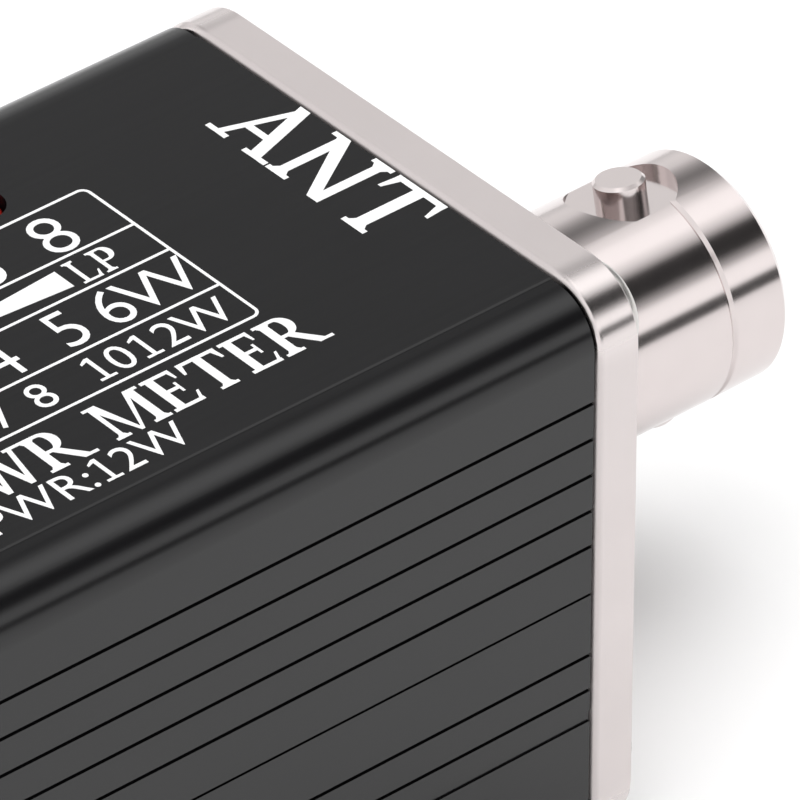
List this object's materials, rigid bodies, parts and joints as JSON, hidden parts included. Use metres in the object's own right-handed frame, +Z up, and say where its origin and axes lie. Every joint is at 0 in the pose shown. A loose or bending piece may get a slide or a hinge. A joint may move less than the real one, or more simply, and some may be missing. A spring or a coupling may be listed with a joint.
{
  "type": "swr meter",
  "caption": "Slim split-extrusion box with a round bayonet coaxial jack on each end plate, a row of indicator lamps on top and slide switches.",
  "frame": {"origin": "centre of the footprint, on the plane that the end plates stand on", "axes": "+X along the box towards the antenna jack, +Z up through the lamps, -Y the grooved side that faces the user"},
  "size_m": [0.0842, 0.026, 0.026],
  "materials": {
    "black_anodised": "satin black anodised extrusion",
    "silver_plate": "satin silver, bright chamfer",
    "nickel": "polished nickel plate",
    "screw_steel": "bright zinc plated steel",
    "ptfe": "white PTFE",
    "gold_contact": "gold plated brass",
    "board_green": "green solder mask over glass-epoxy",
    "black_plastic": "black moulded plastic",
    "switch_metal": "tinned steel",
    "tinned_metal": "tinned copper",
    "led_green": "diffused green lens",
    "led_yellow": "diffused yellow lens",
    "led_red": "diffused red lens",
    "foam": "black adhesive foam",
    "battery_wrap": "silver pouch cell",
    "lead_insulation": "red insulation",
    "ferrite": "grey-black ferrite",
    "copper_wire": "enamelled copper wire",
    "trimmer_blue": "blue plastic",
    "trimmer_white": "white plastic",
    "capacitor_tan": "tan ceramic chip"
  },
  "bodies": {
    "housing": {"ant_end_plate": "silver_plate", "ant_jack_body": "nickel", "ant_jack_contact": "gold_contact", "ant_jack_insulator": "ptfe", "ant_jack_nut": "nickel", "ant_jack_washer": "nickel", "ant_plate_screws": "screw_steel", "battery_cell": "battery_wrap", "battery_foam_pad": "foam", "battery_leads": "lead_insulation", "charge_socket_shell": "switch_metal", "charge_socket_tongue": "black_plastic", "charger_chip": "black_plastic", "coupler_leads": "copper_wire", "detector_diodes": "black_plastic", "display_board": "board_green", "driver_chips": "black_plastic", "driver_legs": "tinned_metal", "filter_capacitors": "capacitor_tan", "forward_coupler_core": "ferrite", "forward_coupler_winding": "copper_wire", "forward_trimmer_body": "trimmer_blue", "green_leds": "led_green", "header_pins": "tinned_metal", "header_strip": "black_plastic", "led_leads": "tinned_metal", "line_sleeve": "ptfe", "load_resistors": "black_plastic", "lower_shell": "black_anodised", "main_board": "board_green", "power_switch_housing": "switch_metal", "range_switch_housing": "switch_metal", "red_leds": "led_red", "reflected_coupler_core": "ferrite", "reflected_coupler_winding": "copper_wire", "reflected_trimmer_body": "trimmer_blue", "switch_terminals": "tinned_metal", "through_line": "tinned_metal", "tx_end_plate": "silver_plate", "tx_jack_body": "nickel", "tx_jack_contact": "gold_contact", "tx_jack_insulator": "ptfe", "tx_jack_nut": "nickel", "tx_jack_washer": "nickel", "tx_plate_screws": "screw_steel", "upper_shell": "black_anodised", "yellow_leds": "led_yellow"},
    "range_lever": {"range_switch_lever": "black_plastic"},
    "power_lever": {"power_switch_lever": "black_plastic"},
    "forward_rotor": {"forward_trimmer_rotor": "trimmer_white"},
    "reflected_rotor": {"reflected_trimmer_rotor": "trimmer_white"}
  },
  "joints": [
    {"name": "range_slide", "type": "slide", "parent": "housing", "child": "range_lever", "axis": [-1, 0, 0], "range_m": [0, 0.002]},
    {"name": "power_slide", "type": "slide", "parent": "housing", "child": "power_lever", "axis": [0, -1, 0], "range_m": [0, 0.002]},
    {"name": "forward_trim", "type": "hinge", "parent": "housing", "child": "forward_rotor", "pos_m": [0.0125, -0.0076, 0.0083], "axis": [0, 0, 1], "range_deg": [-130, 130]},
    {"name": "reflected_trim", "type": "hinge", "parent": "housing", "child": "reflected_rotor", "pos_m": [-0.0125, -0.0076, 0.0083], "axis": [0, 0, 1], "range_deg": [-130, 130]}
  ]
}
